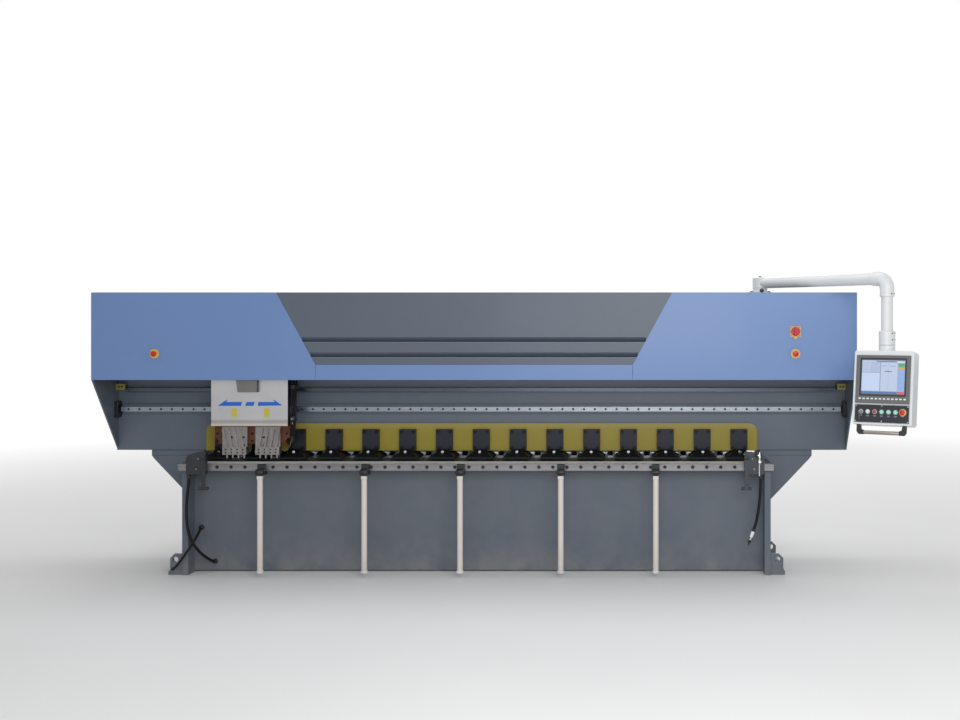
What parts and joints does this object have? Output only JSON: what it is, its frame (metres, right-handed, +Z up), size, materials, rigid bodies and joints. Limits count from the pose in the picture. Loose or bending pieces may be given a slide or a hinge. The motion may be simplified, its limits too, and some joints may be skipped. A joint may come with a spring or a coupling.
{
  "type": "sheet v-grooving machine",
  "caption": "Sheet V-grooving machine: a box beam with blue covers over a table, a travelling tool carriage, press feet, a rear gauge and a console on a swing arm.",
  "frame": {"origin": "centre of the four floor anchor holes, at floor level", "axes": "+X along the beam to the operator's right, +Y to the rear, +Z up"},
  "size_m": [5.7255, 2.7479, 2.145],
  "materials": {
    "frame_paint": "satin",
    "panel_paint": "satin",
    "table_steel": "machined",
    "strip_steel": "polished",
    "bar_steel": "ground",
    "blue_paint": "gloss",
    "louvre_paint": "satin",
    "rail_steel": "ground",
    "yellow_paint": "satin",
    "black_steel": "blackened",
    "screw_steel": "blackened",
    "yellow_plastic": "gloss",
    "red_plastic": "gloss",
    "stainless": "brushed",
    "motor_paint": "satin",
    "bronze": "oiled",
    "tool_steel": "ground",
    "carbide": "ground",
    "gauge_paint": "satin",
    "white_paint": "gloss",
    "console_dark": "satin",
    "white_plastic": "gloss",
    "green_plastic": "gloss",
    "chrome": "polished",
    "rubber": "matt"
  },
  "bodies": {
    "frame": {"side_frames": "frame_paint", "base_panels": "panel_paint", "table_top": "table_steel", "wear_strip": "strip_steel", "front_bar": "bar_steel", "anchor_feet": "frame_paint", "columns": "frame_paint", "beam": "frame_paint", "end_plates": "frame_paint", "blue_covers": "blue_paint", "louvre_panel": "louvre_paint", "top_cover": "louvre_paint", "beam_rails": "rail_steel", "press_plate": "yellow_paint", "press_blocks": "black_steel", "socket_screws": "screw_steel", "rail_fittings": "yellow_plastic", "switch_plates": "yellow_plastic", "gauge_frame": "frame_paint", "arm_post": "white_paint", "bar_clamps": "black_steel", "air_hose": "rubber", "air_nozzle": "white_plastic", "left_lines": "rubber"},
    "carriage": {"carriage_plate": "frame_paint", "bearing_blocks": "rail_steel", "carriage_cover": "stainless", "servo_motors": "motor_paint"},
    "pinion": {"drive_pinion": "rail_steel"},
    "screw": {"ball_screw": "rail_steel"},
    "tool_head": {"tool_slide": "bar_steel", "tool_block": "bronze", "tool_holders": "tool_steel", "cutters": "carbide"},
    "press": {"press_shoes": "black_steel"},
    "gauge": {"gauge_beam": "gauge_paint", "grippers": "gauge_paint"},
    "gauge_drive": {"gauge_shaft": "rail_steel"},
    "jaws": {"gripper_jaws": "bar_steel"},
    "arm": {"arm_tube": "white_paint"},
    "console": {"console": "white_paint", "console_face": "console_dark", "console_handle": "chrome"},
    "key": {"key_switch": "chrome"},
    "white_push": {"white_button": "white_plastic"},
    "red_push": {"red_button": "red_plastic"},
    "green_push_1": {"green_button_1": "green_plastic"},
    "green_push_2": {"green_button_2": "green_plastic"},
    "green_push_3": {"green_button_3": "green_plastic"},
    "console_push": {"console_stop": "red_plastic"},
    "stop_left": {"estop_left": "red_plastic"},
    "stop_right": {"estop_right": "red_plastic"},
    "isolator": {"isolator_knob": "red_plastic"},
    "lever_l": {"lever_left": "black_steel"},
    "lever_r": {"lever_right": "black_steel"},
    "support_1": {"support_arm_1": "white_paint"},
    "support_2": {"support_arm_2": "white_paint"},
    "support_3": {"support_arm_3": "white_paint"},
    "support_4": {"support_arm_4": "white_paint"},
    "support_5": {"support_arm_5": "white_paint"}
  },
  "joints": [
    {"name": "carriage_travel", "type": "slide", "parent": "frame", "child": "carriage", "axis": [1, 0, 0], "range_m": [-0.737, 3.993]},
    {"name": "pinion_turn", "type": "hinge", "parent": "carriage", "child": "pinion", "pos_m": [-1.478, 0, 1.27], "axis": [0, -1, 0], "range_deg": [-1450, 7700]},
    {"name": "tool_lift", "type": "slide", "parent": "carriage", "child": "tool_head", "axis": [0, 0, 1], "range_m": [-0.022, 0.06]},
    {"name": "screw_turn", "type": "hinge", "parent": "carriage", "child": "screw", "pos_m": [-1.628, -0.1213, 1.2], "axis": [0, 0, 1], "range_deg": [-820, 2200]},
    {"name": "press_stroke", "type": "slide", "parent": "frame", "child": "press", "axis": [0, 0, -1], "range_m": [0, 0.0115]},
    {"name": "gauge_travel", "type": "slide", "parent": "frame", "child": "gauge", "axis": [0, 1, 0], "range_m": [-0.16, 0.72]},
    {"name": "gauge_shaft_turn", "type": "hinge", "parent": "gauge", "child": "gauge_drive", "pos_m": [0, 0.82, 0.69375], "axis": [-1, 0, 0], "range_deg": [-320, 1400]},
    {"name": "jaws_open", "type": "hinge", "parent": "gauge", "child": "jaws", "pos_m": [0, 0.15, 0.83], "axis": [-1, 0, 0], "range_deg": [0, 8]},
    {"name": "arm_swing", "type": "hinge", "parent": "frame", "child": "arm", "pos_m": [2.07, 0.1, 2.105], "axis": [0, 0, 1], "range_deg": [-58, 50]},
    {"name": "console_swivel", "type": "hinge", "parent": "arm", "child": "console", "pos_m": [2.813, -0.85, 1.66], "axis": [0, 0, 1], "range_deg": [-90, 90]},
    {"name": "key_turn", "type": "hinge", "parent": "console", "child": "key", "pos_m": [2.62989, -0.9054, 1.22894], "axis": [-0.4484, -0.88, 0.1564], "range_deg": [-90, 0]},
    {"name": "white_button_push", "type": "slide", "parent": "console", "child": "white_push", "axis": [0.4484, 0.88, -0.1564], "range_m": [0, 0.004], "stiffness_N_per_m": 400, "springref_m": -0.002},
    {"name": "red_button_push", "type": "slide", "parent": "console", "child": "red_push", "axis": [0.4484, 0.88, -0.1564], "range_m": [0, 0.004], "stiffness_N_per_m": 400, "springref_m": -0.002},
    {"name": "green_button_1_push", "type": "slide", "parent": "console", "child": "green_push_1", "axis": [0.4484, 0.88, -0.1564], "range_m": [0, 0.004], "stiffness_N_per_m": 400, "springref_m": -0.002},
    {"name": "green_button_2_push", "type": "slide", "parent": "console", "child": "green_push_2", "axis": [0.4484, 0.88, -0.1564], "range_m": [0, 0.004], "stiffness_N_per_m": 400, "springref_m": -0.002},
    {"name": "green_button_3_push", "type": "slide", "parent": "console", "child": "green_push_3", "axis": [0.4484, 0.88, -0.1564], "range_m": [0, 0.004], "stiffness_N_per_m": 400, "springref_m": -0.002},
    {"name": "console_stop_push", "type": "slide", "parent": "console", "child": "console_push", "axis": [0.4484, 0.88, -0.1564], "range_m": [0, 0.004]},
    {"name": "left_stop_push", "type": "slide", "parent": "frame", "child": "stop_left", "axis": [0, 1, 0], "range_m": [0, 0.004]},
    {"name": "right_stop_push", "type": "slide", "parent": "frame", "child": "stop_right", "axis": [0, 1, 0], "range_m": [0, 0.004]},
    {"name": "isolator_turn", "type": "hinge", "parent": "frame", "child": "isolator", "pos_m": [2.271, -0.38, 1.749], "axis": [0, 1, 0], "range_deg": [0, 90]},
    {"name": "left_lever_swing", "type": "hinge", "parent": "frame", "child": "lever_l", "pos_m": [-1.931, -0.315, 0.85], "axis": [0, 1, 0], "range_deg": [0, 50]},
    {"name": "right_lever_swing", "type": "hinge", "parent": "frame", "child": "lever_r", "pos_m": [1.931, -0.315, 0.85], "axis": [0, -1, 0], "range_deg": [0, 50]},
    {"name": "support_1_swing", "type": "hinge", "parent": "frame", "child": "support_1", "pos_m": [-1.525, -0.328, 0.747], "axis": [-1, 0, 0], "range_deg": [0, 90]},
    {"name": "support_2_swing", "type": "hinge", "parent": "frame", "child": "support_2", "pos_m": [-0.785, -0.328, 0.747], "axis": [-1, 0, 0], "range_deg": [0, 90]},
    {"name": "support_3_swing", "type": "hinge", "parent": "frame", "child": "support_3", "pos_m": [-0.105, -0.328, 0.747], "axis": [-1, 0, 0], "range_deg": [0, 90]},
    {"name": "support_4_swing", "type": "hinge", "parent": "frame", "child": "support_4", "pos_m": [0.61, -0.328, 0.747], "axis": [-1, 0, 0], "range_deg": [0, 90]},
    {"name": "support_5_swing", "type": "hinge", "parent": "frame", "child": "support_5", "pos_m": [1.285, -0.328, 0.747], "axis": [-1, 0, 0], "range_deg": [0, 90]}
  ],
  "couplings": [
    {"joint": "pinion_turn", "follows": "carriage_travel", "rad_per_m": 33.333},
    {"joint": "screw_turn", "follows": "tool_lift", "rad_per_m": 628.32},
    {"joint": "gauge_shaft_turn", "follows": "gauge_travel", "rad_per_m": 33.333}
  ]
}
